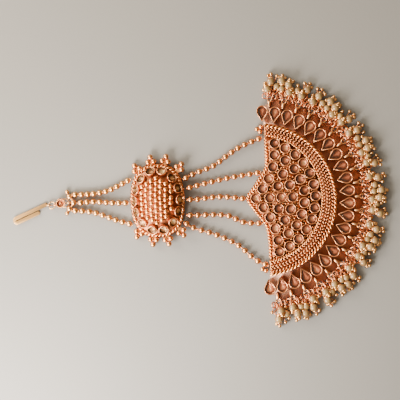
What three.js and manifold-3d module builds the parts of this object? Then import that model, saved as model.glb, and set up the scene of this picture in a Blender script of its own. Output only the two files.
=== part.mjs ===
// A jhoomar, the jewel worn at the side of the head, lying face up as it is put down on a table:
// a hair hook, three strings of gold balls, a domed plaque of stones, five more strings, and a
// fan of stones with a border of teardrops and a fringe of pearls.
//
// Millimetres. X runs from the hook to the pearls, Y across the fan, and Z up from the table.
import * as THREE from 'three';
import { mergeVertices } from 'three/addons/utils/BufferGeometryUtils.js';
import Module from 'manifold-3d';

const wasm = await Module();
wasm.setup();

const TURN = 2 * Math.PI;
const DEGREE = Math.PI / 180;
const UP = new THREE.Vector3(0, 0, 1);

// ---- Driving sizes ----------------------------------------------------------------------------

const BALL_SIDES = 10;       // sides of balls, pearls and single settings
const FIELD_SIDES = 8;       // sides of the many small settings in the fan's field
const WIRE_SIDES = 6;        // sides of wires

const STRING_BALL = 1.2;     // radius of the balls on the strings
const STRING_WIRE = 0.45;    // radius of the wire between them

const FAN = {
  x: 24.2, y: -0.2,          // centre of the rim's circle
  turn: 2.5 * DEGREE,        // how far the fan is turned from the X axis
  rim: 30.4,                 // outer radius of the woven band
  plate: 0.9,                // thickness of the back plate
  top: 1.2,                  // where the pieces on the plate begin
  fieldY: 0.85,              // how far the stone field lies off the rim's centre
};

const BAND = { inner: 25.3, innerX: -0.9, end: 2.4, height: 2.2, bevel: 0.7, steps: 18 };

const BORDER = {
  drops: 22,                 // teardrops round the rim, evenly over the span
  span: 173.25 * DEGREE,
  peak: 41.0,                // plate radius behind a teardrop
  valley: 38.9,              // plate radius between two teardrops
  end: 37.4,                 // plate radius behind the first and the last teardrop
};
const PITCH = BORDER.span / (BORDER.drops - 1);

const TEARDROP = { tip: 31.1, centre: 35.6, radius: 2.35, wall: 0.9, crown: 0.6, table: 0.55 };
const LUG = { start: 37.5, length: 3.1, width: 1.4, bottom: 0.6, top: 1.9 };
const ROUND_STONE = { radius: 2.1, wall: 1.3, crown: 0.5, table: 0.5 };
const TRAY = { arc: 25.0, height: 0.4, inset: 1.0, end: 4.3 };

// Arcs of round stones, from the band to the fan's point.
const STONE_ARCS = [
  { stones: 13, radius: 22.8, centreX: -0.9, halfAngle: 71.3 },
  { stones: 10, radius: 18.4, centreX: -0.8, halfAngle: 67.3 },
  { stones: 7, radius: 13.9, centreX: -1.1, halfAngle: 62.2 },
  { stones: 5, radius: 8.6, centreX: -0.3, halfAngle: 63.6 },
  { stones: 3, radius: 4.0, centreX: -0.4, halfAngle: 69.6 },
  { stones: 1, radius: 0, centreX: -1.9, halfAngle: 0 },
];

// The rope on the fan's bracket-shaped edge, in the fan's own plane.
const ROPE = { radius: 0.45, z: 1.1, steps: 20 };
const BRACKET = [
  { x: 3.1, y: 24.9 },
  { x: 3.1, y: 18.5 },
  { x: 2.7, y: 12.8 },
  { x: 0.7, y: 9.7 },
  { x: -2.1, y: 5.5 },
  { x: -5.0, y: 1.2 },
  { x: -2.4, y: -3.6 },
  { x: -0.1, y: -6.8 },
  { x: 1.9, y: -9.7 },
  { x: 2.7, y: -12.8 },
  { x: 3.1, y: -17.9 },
  { x: 3.1, y: -23.4 },
];
const CORNERS = [{ x: 2.5, y: 29.7 }, { x: 2.5, y: -29.7 }];

// How the pearls hang in a bunch: distance from the rim's centre, offset across, height of centre.
const PEARL = 1.65;
const PIN = 0.5;             // radius of a bunch's stem
const SWAY = 0.6;            // how far a bunch swings to its side at the pearls
const BUNCHES = [
  [{ reach: 44.5, side: 1.3, z: 1.7 }, { reach: 47.7, side: 0.2, z: 1.8 }],
  [{ reach: 44.6, side: -1.3, z: 1.8 }, { reach: 47.6, side: -0.5, z: 2.5 },
    { reach: 48.4, side: 2.5, z: 1.8 }],
  [{ reach: 44.9, side: 0.5, z: 2.3 }, { reach: 47.9, side: -0.7, z: 1.76 }],
];
const STEM_START = 41.1;
const PIN_END = { reach: 51.3, z: 1.1 };

const PLAQUE = {
  x: -16.8, y: -0.2,
  turn: 2 * DEGREE,
  tilt: 6 * DEGREE,          // its pearl side is propped up where the lower strings fold
  halfWidth: 11.0, halfLength: 15.0,
  squareness: 2.5,           // exponent of the oval, where 2 is an ellipse
  sides: 20,
  slope: 10.95,              // fall of the dome under the settings, per share of the half width
};

// The plaque from its back to its crest: share of the half width, and height.
const PLAQUE_PROFILE = [
  { share: 0, z: 0 },
  { share: 0.96, z: 0 },
  { share: 1, z: 0.7 },
  { share: 0.94, z: 1.3 },
  { share: 0.87, z: 1.4 },
  { share: 0.66, z: 3.7 },
  { share: 0.58, z: 5.0 },
  { share: 0.3, z: 6.6 },
  { share: 0, z: 7.1 },
];

// The ring of settings round the dome: half axes of its oval, and the height of its middle.
const RING = {
  stones: 14, x: 8.6, y: 11.6, z: 2.5,
  radius: 2.05, sunk: 0.8, wall: 1.9, crown: 0.4, table: 0.5,
};

// A trefoil: its tip ball, the two behind it, and how far the outer trefoils fan out.
const TREFOIL = { ball: 1.12, inward: 1.9, apart: 1.15, root: 3.8, bottom: 0.2, height: 1.8, fan: 0.9 };

// Tips of the trefoils on one long side of the plaque; the other side mirrors them.
const TREFOIL_TIPS = [
  { x: -8.8, y: 14.2 },
  { x: -2.4, y: 17.4 },
  { x: 4.0, y: 17.4 },
  { x: 10.1, y: 14.2 },
];

// Routes of the strings from the hook's side. Lead and tail are the lengths from the route's ends
// to the centres of the first and the last ball.
const STRINGS = [
  { name: 'upper_string_1', balls: 10, lead: 1.3, tail: 1.9, route: [
    { x: -51.1, y: 2.1, z: 1.2 }, { x: -42.6, y: 2.5, z: 1.2 }, { x: -36.8, y: 3.7, z: 1.2 },
    { x: -31.8, y: 6.1, z: 1.2 }, { x: -27.2, y: 8.6, z: 1.2 }] },
  { name: 'upper_string_2', balls: 8, lead: 1.3, tail: 1.5, route: [
    { x: -49.0, y: -1.2, z: 1.2 }, { x: -42.2, y: -0.7, z: 1.2 }, { x: -36.4, y: -1.1, z: 1.2 },
    { x: -28.3, y: -1.2, z: 1.2 }] },
  { name: 'upper_string_3', balls: 9, lead: 1.3, tail: 1.5, route: [
    { x: -51.1, y: -4.2, z: 1.2 }, { x: -42.5, y: -5.0, z: 1.2 }, { x: -33.6, y: -8.0, z: 1.2 },
    { x: -26.8, y: -9.9, z: 1.2 }] },
  { name: 'lower_string_1', balls: 12, lead: 1.5, tail: 1.5, route: [
    { x: -6.8, y: 8.1, z: 2.9 }, { x: -3.1, y: 10.2, z: 1.7 }, { x: 5.6, y: 13.8, z: 1.25 },
    { x: 11.0, y: 17.9, z: 1.2 }, { x: 16.0, y: 21.2, z: 1.2 }, { x: 24.8, y: 25.0, z: 1.2 }] },
  { name: 'lower_string_2', balls: 10, lead: 1.5, tail: 1.5, route: [
    { x: -5.5, y: 4.6, z: 2.9 }, { x: -1.2, y: 5.8, z: 1.7 }, { x: 10.9, y: 8.7, z: 1.25 },
    { x: 24.4, y: 11.1, z: 1.2 }] },
  { name: 'lower_string_3', balls: 8, lead: 1.5, tail: 1.5, route: [
    { x: -5.3, y: 0.2, z: 2.9 }, { x: -1.2, y: 0.3, z: 1.7 }, { x: 7.8, y: 1.3, z: 1.25 },
    { x: 18.45, y: 0.5, z: 1.2 }] },
  { name: 'lower_string_4', balls: 10, lead: 1.5, tail: 1.5, route: [
    { x: -5.4, y: -6.0, z: 2.9 }, { x: -1.2, y: -6.0, z: 1.7 }, { x: 11.4, y: -6.3, z: 1.25 },
    { x: 17.1, y: -8.8, z: 1.2 }, { x: 25.05, y: -9.4, z: 1.2 }] },
  { name: 'lower_string_5', balls: 12, lead: 1.5, tail: 1.5, route: [
    { x: -6.5, y: -8.7, z: 2.9 }, { x: -2.7, y: -11.0, z: 1.7 }, { x: 6.8, y: -14.0, z: 1.25 },
    { x: 15.2, y: -18.0, z: 1.2 }, { x: 22.5, y: -24.0, z: 1.2 }, { x: 27.4, y: -26.2, z: 1.2 }] },
];

// The hook: a flat wire bent double, its two legs side by side, with an upright eye.
const HOOK = {
  x: -60.8, y: -2.5, turn: 25 * DEGREE,
  length: 15.2, leg: 1.5, slot: 0.3, backLeg: 10.5, thick: 0.8,
};
const EYE = { radius: 0.92, wire: 0.28, z: 1.2, sides: 10 };
const HOOK_RING = { x: -59.1, y: -2.1, z: 1.2, radius: 1.35, wire: 0.22 };
const TOP_STONE = { x: -55.6, y: -1.3, z: 1.55, radius: 1.85, wall: 0.9, crown: 0.4, table: 0.5 };
const SPACER_RING = { x: -54.0, y: -1.2, z: 1.02, radius: 1.65, wire: 0.22 };
const SPACER_ROUTE = [
  { x: -53.2, y: 3.5, z: 1.2 },
  { x: -52.8, y: 2.2, z: 1.2 },
  { x: -50.5, y: -1.2, z: 1.2 },
  { x: -52.8, y: -4.3, z: 1.2 },
  { x: -53.1, y: -5.6, z: 1.2 },
];

// ---- Materials --------------------------------------------------------------------------------

function metal(name, color, roughness) {
  return new THREE.MeshStandardMaterial({ name, color, roughness, metalness: 1 });
}

function roseGold() {
  return metal('rose_gold', 0xd9946a, 0.3);
}

function paleGold() {
  return metal('pale_gold', 0xe0b87e, 0.3);
}

function champagneStone() {
  return new THREE.MeshStandardMaterial({ name: 'stone', color: 0xb98a70, roughness: 0.1, metalness: 0 });
}

function pearlCream() {
  return new THREE.MeshStandardMaterial({ name: 'pearl', color: 0xe2d3b4, roughness: 0.3, metalness: 0 });
}

// ---- Tools for shapes -------------------------------------------------------------------------

/** Welds a geometry's vertices and drops the flat triangles that a turned shape has at its poles. */
function welded(geometry) {
  const bare = geometry.index ? geometry.toNonIndexed() : geometry.clone();
  bare.deleteAttribute('normal');
  bare.deleteAttribute('uv');
  const merged = mergeVertices(bare, 1e-4);
  const corners = merged.index.array;
  const kept = [];
  for (let i = 0; i < corners.length; i += 3) {
    const [a, b, c] = corners.slice(i, i + 3);
    if (a !== b && b !== c && c !== a) kept.push(a, b, c);
  }
  merged.setIndex(kept);
  return merged;
}

function solid(geometry) {
  const { attributes, index } = welded(geometry);
  return new wasm.Manifold(new wasm.Mesh({
    numProp: 3,
    vertProperties: Float32Array.from(attributes.position.array),
    triVerts: Uint32Array.from(index.array),
  }));
}

/** Joins closed geometries that overlap into one body. */
function fuse(geometries) {
  const body = geometries.map(solid).reduce((whole, piece) => whole.add(piece));
  const { vertProperties, triVerts } = body.getMesh();
  const geometry = new THREE.BufferGeometry();
  geometry.setAttribute('position', new THREE.BufferAttribute(vertProperties, 3));
  geometry.setIndex(new THREE.BufferAttribute(triVerts, 1));
  geometry.computeVertexNormals();
  return geometry;
}

function piece(name, geometry, material) {
  const mesh = new THREE.Mesh(geometry, material);
  mesh.name = name;
  return mesh;
}

/** A smooth curve through a table's rows. */
function curveThrough(rows) {
  return new THREE.CatmullRomCurve3(rows.map(({ x, y, z }) => new THREE.Vector3(x, y, z)));
}

function polygon(radius, sides) {
  const corners = Array.from({ length: sides }, (_, i) => {
    const angle = (TURN * i) / sides;
    return new THREE.Vector2(radius * Math.cos(angle), radius * Math.sin(angle));
  });
  return new THREE.Shape(corners);
}

/** A wire of the given radius along a curve. */
function wire(curve, radius, steps) {
  return new THREE.ExtrudeGeometry(polygon(radius, WIRE_SIDES), { steps, extrudePath: curve });
}

/**
 * A stone in its setting on an outline: an upright wall, then a crown of flat facets that slopes
 * in to the table. Made from an extrusion whose top ring is drawn in towards the outline's centre.
 */
function setStone(outline, { wall, crown, table }) {
  const stone = new THREE.ExtrudeGeometry(outline, { depth: 2, steps: 2, bevelEnabled: false });
  const at = stone.attributes.position;
  for (let i = 0; i < at.count; i += 1) {
    const level = Math.round(at.getZ(i));
    const shrink = level === 2 ? table : 1;
    const z = [0, wall, wall + crown][level];
    at.setXYZ(i, at.getX(i) * shrink, at.getY(i) * shrink, z);
  }
  return stone;
}

/**
 * Balls on a wire, as one turned body laid along a curve. Every row of the profile is a ring
 * round the curve at parameter t, slid along its direction there, so a ball stays round where
 * the curve bends.
 */
function threaded(curve, balls, wireRadius) {
  const rows = [{ t: 0, slide: 0, radius: 0 }, { t: 0, slide: 0, radius: wireRadius }];
  balls.forEach(({ t, radius }, i) => {
    if (i > 0) rows.push({ t: (balls[i - 1].t + t) / 2, slide: 0, radius: wireRadius });
    rows.push({ t, slide: -0.42 * radius, radius }, { t, slide: 0.42 * radius, radius });
  });
  rows.push({ t: 1, slide: 0, radius: wireRadius }, { t: 1, slide: 0, radius: 0 });

  const profile = rows.map(({ radius }, i) => new THREE.Vector2(radius, i));
  const turned = new THREE.LatheGeometry(profile, BALL_SIDES);
  const at = turned.attributes.position;
  const across = new THREE.Vector3();
  const up = new THREE.Vector3();
  for (let i = 0; i < at.count; i += 1) {
    const { t, slide } = rows[Math.round(at.getY(i))];
    const along = curve.getTangent(t);
    across.crossVectors(along, UP).normalize();
    up.crossVectors(across, along);
    const point = curve.getPoint(t).addScaledVector(along, slide);
    point.addScaledVector(across, at.getX(i)).addScaledVector(up, at.getZ(i));
    at.setXYZ(i, point.x, point.y, point.z);
  }
  return turned;
}

/** Points on an arc about (x, y), from one angle to another. */
function arcPoints(radius, from, to, steps, x = 0, y = 0) {
  return Array.from({ length: steps + 1 }, (_, i) => {
    const angle = from + ((to - from) * i) / steps;
    return new THREE.Vector2(x + radius * Math.cos(angle), y + radius * Math.sin(angle));
  });
}

function ring(radius, wireRadius) {
  return new THREE.TorusGeometry(radius, wireRadius, 5, 12);
}

/** An upright eye whose hole runs along Y. */
function eye(x, y) {
  const loop = new THREE.TorusGeometry(EYE.radius, EYE.wire, 5, EYE.sides);
  return loop.rotateX(Math.PI / 2).translate(x, y, EYE.z);
}

// ---- The upper end ----------------------------------------------------------------------------

function hairHook() {
  const { length, leg, slot, backLeg, thick } = HOOK;
  const edge = leg + slot / 2;
  const outline = new THREE.Shape([
    ...arcPoints(edge, 90 * DEGREE, 270 * DEGREE, 5, edge - length),
    ...arcPoints(leg / 2, -90 * DEGREE, 90 * DEGREE, 4, backLeg - length, -edge + leg / 2),
    ...arcPoints(slot / 2, 270 * DEGREE, 90 * DEGREE, 2, leg - length),
    new THREE.Vector2(0, slot / 2),
    new THREE.Vector2(0, edge),
  ]);
  const legs = new THREE.ExtrudeGeometry(outline, { depth: thick, bevelEnabled: false });
  legs.rotateZ(HOOK.turn).translate(HOOK.x, HOOK.y, 0);
  const loop = eye(HOOK_RING.x - HOOK_RING.radius, HOOK_RING.y);
  return piece('hair_hook', fuse([legs, loop]), paleGold());
}

function flatRing(name, { x, y, z, radius, wire: thickness }) {
  const mesh = piece(name, ring(radius, thickness), paleGold());
  mesh.position.set(x, y, z);
  return mesh;
}

function topStone() {
  const stone = setStone(polygon(TOP_STONE.radius, BALL_SIDES), TOP_STONE);
  stone.translate(TOP_STONE.x, TOP_STONE.y, TOP_STONE.z);
  const toHook = eye(HOOK_RING.x + HOOK_RING.radius, HOOK_RING.y);
  const toSpacer = eye(SPACER_RING.x - SPACER_RING.radius, SPACER_RING.y);
  return piece('top_stone', fuse([stone, toHook, toSpacer]), champagneStone());
}

function topSpacer() {
  const balls = [0.25, 0.5, 0.75].map((t) => ({ t, radius: STRING_BALL }));
  const arms = threaded(curveThrough(SPACER_ROUTE), balls, STRING_WIRE);
  const loop = eye(SPACER_RING.x + SPACER_RING.radius, SPACER_RING.y);
  return piece('top_spacer', fuse([arms, loop]), paleGold());
}

// ---- The strings of balls ---------------------------------------------------------------------

function ballString({ name, balls: count, lead, tail, route }) {
  const curve = curveThrough(route);
  const length = curve.getLength();
  const pitch = (length - lead - tail) / (count - 1);
  const balls = Array.from({ length: count }, (_, i) => ({
    t: curve.getUtoTmapping((lead + i * pitch) / length),
    radius: STRING_BALL,
  }));
  return piece(name, threaded(curve, balls, STRING_WIRE), roseGold());
}

// ---- The plaque -------------------------------------------------------------------------------

/** A point of the plaque's oval in the direction of an angle, as a share of its half width. */
function ovalPoint(share, angle) {
  const power = 2 / PLAQUE.squareness;
  const bend = (value) => Math.sign(value) * Math.abs(value) ** power;
  return {
    x: share * PLAQUE.halfWidth * bend(Math.cos(angle)),
    y: share * PLAQUE.halfLength * bend(Math.sin(angle)),
  };
}

/** The plate, its rim, the dome and the raised middle that carries the balls, as one body. */
function plaqueBody() {
  const profile = PLAQUE_PROFILE.map(({ share }, i) => new THREE.Vector2(share, i));
  const body = new THREE.LatheGeometry(profile, PLAQUE.sides);
  const at = body.attributes.position;
  for (let i = 0; i < at.count; i += 1) {
    const { share, z } = PLAQUE_PROFILE[Math.round(at.getY(i))];
    const { x, y } = ovalPoint(share, Math.atan2(-at.getZ(i), at.getX(i)));
    at.setXYZ(i, x, y, z);
  }
  return body;
}

/** The round settings that stand square to the dome, evenly round its oval. */
function plaqueSettings() {
  const oval = new THREE.EllipseCurve(0, 0, RING.x, RING.y, TURN / 4, TURN * 1.25);
  const places = oval.getSpacedPoints(2 * RING.stones).filter((_, i) => i % 2 === 1);
  const { halfWidth, halfLength, squareness, slope } = PLAQUE;
  return places.map(({ x, y }) => {
    const u = Math.abs(x / halfWidth);
    const v = Math.abs(y / halfLength);
    const share = (u ** squareness + v ** squareness) ** (1 / squareness);
    const outward = new THREE.Vector3(
      (slope * Math.sign(x) * (u / share) ** (squareness - 1)) / halfWidth,
      (slope * Math.sign(y) * (v / share) ** (squareness - 1)) / halfLength,
      1,
    ).normalize();
    const setting = setStone(polygon(RING.radius, FIELD_SIDES), RING);
    setting.translate(0, 0, -RING.sunk);
    setting.applyQuaternion(new THREE.Quaternion().setFromUnitVectors(UP, outward));
    return setting.translate(x, y, RING.z);
  });
}

/** A trefoil's outline: the tip ball points along X, and the root runs back under the rim. */
function trefoilOutline() {
  const { ball, inward, apart, root } = TREFOIL;
  const side = arcPoints(ball, 30 * DEGREE, 150 * DEGREE, 3, -inward, apart);
  const mirrored = side.map(({ x, y }) => new THREE.Vector2(x, -y)).reverse();
  const tip = arcPoints(ball, -100 * DEGREE, 100 * DEGREE, 5);
  const end = [new THREE.Vector2(-root, apart), new THREE.Vector2(-root, -apart)];
  return new THREE.Shape([...tip, ...side, ...end, ...mirrored]);
}

function trefoils() {
  const tips = TREFOIL_TIPS.flatMap(({ x, y }) => [{ x, y }, { x, y: -y }]);
  return tips.map(({ x, y }) => {
    const trefoil = new THREE.ExtrudeGeometry(trefoilOutline(), {
      depth: TREFOIL.height, bevelEnabled: false,
    });
    return trefoil.rotateZ(Math.atan2(y, TREFOIL.fan * x)).translate(x, y, TREFOIL.bottom);
  });
}

function plaque() {
  const geometry = fuse([plaqueBody(), ...plaqueSettings(), ...trefoils()]);
  geometry.rotateY(-PLAQUE.tilt).rotateZ(PLAQUE.turn);
  geometry.computeBoundingBox();
  geometry.translate(PLAQUE.x, PLAQUE.y, -geometry.boundingBox.min.z);
  return piece('plaque', geometry, roseGold());
}

// ---- The fan ----------------------------------------------------------------------------------

/** The angle of a teardrop on the rim, counted from the fan's upper corner. */
function dropAngle(index) {
  return BORDER.span / 2 - index * PITCH;
}

function points(rows) {
  return rows.map(({ x, y }) => new THREE.Vector2(x, y));
}

/** The bracket's line moved square to itself, towards the pearls. */
function insetBracket(distance) {
  const line = new THREE.CatmullRomCurve3(BRACKET.map(({ x, y }) => new THREE.Vector3(x, y, 0)));
  return BRACKET.map((_, i) => {
    const t = i / (BRACKET.length - 1);
    const aside = line.getTangent(t).cross(UP);
    const { x, y } = line.getPoint(t).addScaledVector(aside, -distance);
    return new THREE.Vector2(x, y);
  });
}

/** The back plate: the bracket edge, and the scalloped edge that peaks behind each teardrop. */
function backPlate() {
  const scallops = [];
  for (let half = 0; half <= 2 * (BORDER.drops - 1); half += 1) {
    const isEnd = half === 0 || half === 2 * (BORDER.drops - 1);
    const radius = isEnd ? BORDER.end : [BORDER.peak, BORDER.valley][half % 2];
    const angle = dropAngle(half / 2);
    scallops.push(new THREE.Vector2(radius * Math.cos(angle), radius * Math.sin(angle)));
  }
  const [upper, lower] = points(CORNERS);
  const outline = new THREE.Shape([upper, ...scallops, lower, ...points(BRACKET).reverse()]);
  return new THREE.ExtrudeGeometry(outline, { depth: FAN.plate, bevelEnabled: false });
}

function lug(index) {
  const height = LUG.top - LUG.bottom;
  const block = new THREE.BoxGeometry(LUG.length, LUG.width, height);
  block.translate(LUG.start + LUG.length / 2, 0, LUG.bottom + height / 2);
  return block.rotateZ(dropAngle(index + 0.5));
}

function fanPlate() {
  const edge = curveThrough(BRACKET.map(({ x, y }) => ({ x, y, z: ROPE.z })));
  const lugs = Array.from({ length: BORDER.drops - 1 }, (_, i) => lug(i));
  const rope = wire(edge, ROPE.radius, ROPE.steps);
  return piece('fan_plate', fuse([backPlate(), rope, ...lugs]), roseGold());
}

function wovenBand() {
  const { rim, fieldY } = FAN;
  const outer = Math.acos(BAND.end / rim);
  const inner = Math.acos((BAND.end - BAND.innerX) / BAND.inner);
  const outline = new THREE.Shape([
    ...arcPoints(rim, -outer, outer, BAND.steps),
    ...arcPoints(BAND.inner, inner, -inner, BAND.steps, BAND.innerX, fieldY),
  ]);
  const band = new THREE.ExtrudeGeometry(outline, {
    depth: BAND.height - 2 * BAND.bevel,
    bevelThickness: BAND.bevel,
    bevelSize: BAND.bevel,
    bevelOffset: -BAND.bevel,
    bevelSegments: 1,
  });
  band.translate(0, 0, FAN.top + BAND.bevel);
  return piece('woven_band', band, roseGold());
}

/** The round stones of the field, fused through the thin tray that they are soldered to. */
function fanStones() {
  const { fieldY, top } = FAN;
  const reach = Math.acos((TRAY.end - BAND.innerX) / TRAY.arc);
  const outline = new THREE.Shape([
    ...arcPoints(TRAY.arc, -reach, reach, BAND.steps, BAND.innerX, fieldY),
    ...insetBracket(TRAY.inset).slice(1, -1),
  ]);
  const tray = new THREE.ExtrudeGeometry(outline, { depth: TRAY.height, bevelEnabled: false });
  const stones = STONE_ARCS.flatMap(({ stones: count, radius, centreX, halfAngle }) => {
    const half = halfAngle * DEGREE;
    const places = arcPoints(radius, -half, half, Math.max(count - 1, 1), centreX, fieldY);
    return places.slice(0, count).map(({ x, y }) => {
      const stone = setStone(polygon(ROUND_STONE.radius, FIELD_SIDES), ROUND_STONE);
      return stone.translate(x, y, TRAY.height / 2);
    });
  });
  const field = fuse([tray, ...stones]);
  field.translate(0, 0, top);
  return piece('fan_stones', field, champagneStone());
}

function teardrop(index) {
  const { tip, centre, radius } = TEARDROP;
  const turnIn = Math.PI - Math.acos(radius / (centre - tip));
  const outline = new THREE.Shape([
    new THREE.Vector2(tip - centre, 0),
    ...arcPoints(radius, -turnIn, turnIn, 8),
  ]);
  const stone = setStone(outline, TEARDROP);
  stone.translate(centre, 0, FAN.top).rotateZ(dropAngle(index));
  return piece(`teardrop_${String(index + 1).padStart(2, '0')}`, stone, champagneStone());
}

/** One bunch of the fringe: a stem from its lug, the pearls, and the end of their pins. */
function pearlBunch(index) {
  const sway = SWAY * Math.sin(2.4 * index);
  const pearls = BUNCHES[index % BUNCHES.length];
  const last = pearls[pearls.length - 1];
  const stops = [
    { reach: STEM_START, side: 0, z: LUG.top - PIN },
    ...pearls,
    { ...PIN_END, side: last.side },
  ];
  const route = curveThrough(stops.map(({ reach, side, z }) => {
    const swing = (sway * (reach - STEM_START)) / (PIN_END.reach - STEM_START);
    return { x: reach, y: side + swing, z };
  }));
  const balls = pearls.map((_, i) => ({ t: (i + 1) / (stops.length - 1), radius: PEARL }));
  const bunch = threaded(route, balls, PIN).rotateZ(dropAngle(index + 0.5));
  return piece(`pearl_bunch_${String(index + 1).padStart(2, '0')}`, bunch, pearlCream());
}

function fan() {
  const group = new THREE.Group();
  group.add(fanPlate(), wovenBand(), fanStones());
  for (let i = 0; i < BORDER.drops; i += 1) group.add(teardrop(i));
  for (let i = 0; i < BORDER.drops - 1; i += 1) group.add(pearlBunch(i));
  group.rotation.z = FAN.turn;
  group.position.set(FAN.x, FAN.y, 0);
  return group;
}

// ---- The whole jewel --------------------------------------------------------------------------

const upperEnd = new THREE.Group();
upperEnd.add(hairHook(), flatRing('hook_ring', HOOK_RING), topStone());
upperEnd.add(flatRing('spacer_ring', SPACER_RING), topSpacer());

const strings = new THREE.Group();
strings.add(...STRINGS.map(ballString));

const jewel = new THREE.Group();
jewel.add(upperEnd, strings, plaque(), fan());

// The origin is the middle of the whole outline, on the table.
jewel.updateMatrixWorld(true);
const box = new THREE.Box3().setFromObject(jewel, true);
const middle = box.getCenter(new THREE.Vector3());
jewel.position.set(-middle.x, -middle.y, -box.min.z);

const jhoomar = new THREE.Group();
jhoomar.add(jewel);

export default jhoomar;
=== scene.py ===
# A jhoomar, the gilt jewel worn at the side of the head, laid face up on a pale table: a hair
# hook, three strings of balls, a domed plaque, five more strings, and a fan of stones with a
# border of teardrops and a fringe of pearls.
import math
import random

import bmesh
import bpy
from mathutils import Matrix, Vector


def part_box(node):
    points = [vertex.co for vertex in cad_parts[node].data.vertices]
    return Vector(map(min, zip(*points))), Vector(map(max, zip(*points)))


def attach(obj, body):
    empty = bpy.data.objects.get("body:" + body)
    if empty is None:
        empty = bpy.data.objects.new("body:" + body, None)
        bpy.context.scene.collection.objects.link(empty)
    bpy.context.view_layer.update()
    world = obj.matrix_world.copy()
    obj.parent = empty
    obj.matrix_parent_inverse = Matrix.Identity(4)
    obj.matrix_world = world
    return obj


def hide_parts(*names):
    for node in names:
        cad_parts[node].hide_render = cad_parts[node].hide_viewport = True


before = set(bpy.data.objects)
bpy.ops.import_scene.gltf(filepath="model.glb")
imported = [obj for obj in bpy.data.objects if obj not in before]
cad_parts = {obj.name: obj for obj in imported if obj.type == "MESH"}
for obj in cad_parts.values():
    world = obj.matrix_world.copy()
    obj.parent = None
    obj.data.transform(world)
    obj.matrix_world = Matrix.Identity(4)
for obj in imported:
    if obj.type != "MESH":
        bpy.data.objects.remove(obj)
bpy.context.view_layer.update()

# ---- The table ----
# A matt table top, painted off-white, that the jewel lies on. It has the faint unevenness of
# paint put on with a roller.


class Socket:
    """An output of a shader node. Arithmetic adds Math nodes, and node() adds any other node."""

    def __init__(self, tree, output=None):
        self.tree = tree
        self.output = output

    def node(self, kind, inputs, settings=None, output=0):
        made = self.tree.nodes.new("ShaderNode" + kind)
        for name, value in (settings or {}).items():
            if name == "stops":
                ramp = made.color_ramp.elements
                while len(ramp) < len(value):
                    ramp.new(1.0)
                for stop, (place, colour) in zip(ramp, value):
                    stop.position = place
                    stop.color = (*colour, 1.0)
            else:
                setattr(made, name, value)
        for name, value in inputs.items():
            if isinstance(value, Socket):
                self.tree.links.new(value.output, made.inputs[name])
            else:
                made.inputs[name].default_value = value
        return Socket(self.tree, made.outputs[output] if made.outputs else None)

    def _math(self, operation, first, second):
        return self.node("Math", {0: first, 1: second}, {"operation": operation})

    def __add__(self, other):
        return self._math("ADD", self, other)

    def __mul__(self, other):
        return self._math("MULTIPLY", self, other)

    def __sub__(self, other):
        return self._math("SUBTRACT", self, other)

    def __rsub__(self, other):
        return self._math("SUBTRACT", other, self)

    def __pow__(self, other):
        return self._math("POWER", self, other)

    def __abs__(self):
        return self._math("ABSOLUTE", self, 0.0)

    __radd__ = __add__
    __rmul__ = __mul__

    def mix(self, first, second):
        """A colour between two colours, with this socket as the share of the second."""
        colours = {0: self, 6: first, 7: second}
        return self.node("Mix", colours, {"data_type": "RGBA"}, output=2)

    def noise(self, scale, detail=2.0, roughness=0.5):
        """Smooth noise, with this socket as the place."""
        inputs = {"Vector": self, "Scale": scale, "Detail": detail, "Roughness": roughness}
        return self.node("TexNoise", inputs)

    def bump(self, distance, strength=1.0):
        """The surface's normal where this socket is its height, in shares of the distance."""
        return self.node("Bump", {"Height": self, "Distance": distance, "Strength": strength})


def blank_material(name):
    """A new material with nothing in it, and the place on the object in metres."""
    material = bpy.data.materials.new(name)
    material.use_nodes = True
    material.node_tree.nodes.clear()
    place = Socket(material.node_tree).node("TexCoord", {}, output=3)
    return material, place


def surface(place, **inputs):
    """Ends a material with a Principled shader. Inputs are named as on it, with _ for a space."""
    words = {name.replace("_", " "): value for name, value in inputs.items()}
    shader = place.node("BsdfPrincipled", words)
    place.node("OutputMaterial", {"Surface": shader})


def table_paint():
    material, place = blank_material("table_paint")
    broad = place.noise(9.0, detail=3.0)
    fine = place.noise(900.0, detail=3.0)
    colour = (broad * 0.7 + fine * 0.3).mix((0.248, 0.254, 0.259, 1), (0.275, 0.282, 0.288, 1))
    surface(place, Base_Color=colour, Roughness=fine * 0.1 + 0.62, Normal=fine.bump(0.00003))
    return material


def finished(name, bm, material):
    """A bmesh, in metres, made an object of the scene with one material."""
    mesh = bpy.data.meshes.new(name)
    bm.to_mesh(mesh)
    bm.free()
    mesh.materials.append(material)
    piece = bpy.data.objects.new(name, mesh)
    bpy.context.collection.objects.link(piece)
    return piece


TABLE_REACH = 2.0
table = bmesh.new()
bmesh.ops.create_grid(table, x_segments=4, y_segments=4, size=TABLE_REACH)
finished("table_top", table, table_paint())

# ---- The light and the camera ----
# Warm daylight from a window at the upper left and from a low one at the lower left, in a room
# that is bright towards the windows and dim on the far side. The camera looks straight down.


def soft_light(name, place, size, power, colour):
    light = bpy.data.lights.new(name, "AREA")
    light.shape = "DISK"
    light.size = size
    light.energy = power
    light.color = colour
    lamp = bpy.data.objects.new(name, light)
    lamp.location = place
    lamp.rotation_euler = (-Vector(place)).to_track_quat("-Z", "Y").to_euler()
    bpy.context.collection.objects.link(lamp)


soft_light("window", (-0.305, 0.16, 0.16), size=0.26, power=3.05, colour=(1.0, 0.84, 0.64))
soft_light("low_window", (-0.12, -0.13, 0.105), size=0.14, power=1.9, colour=(1.0, 0.88, 0.74))

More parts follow.
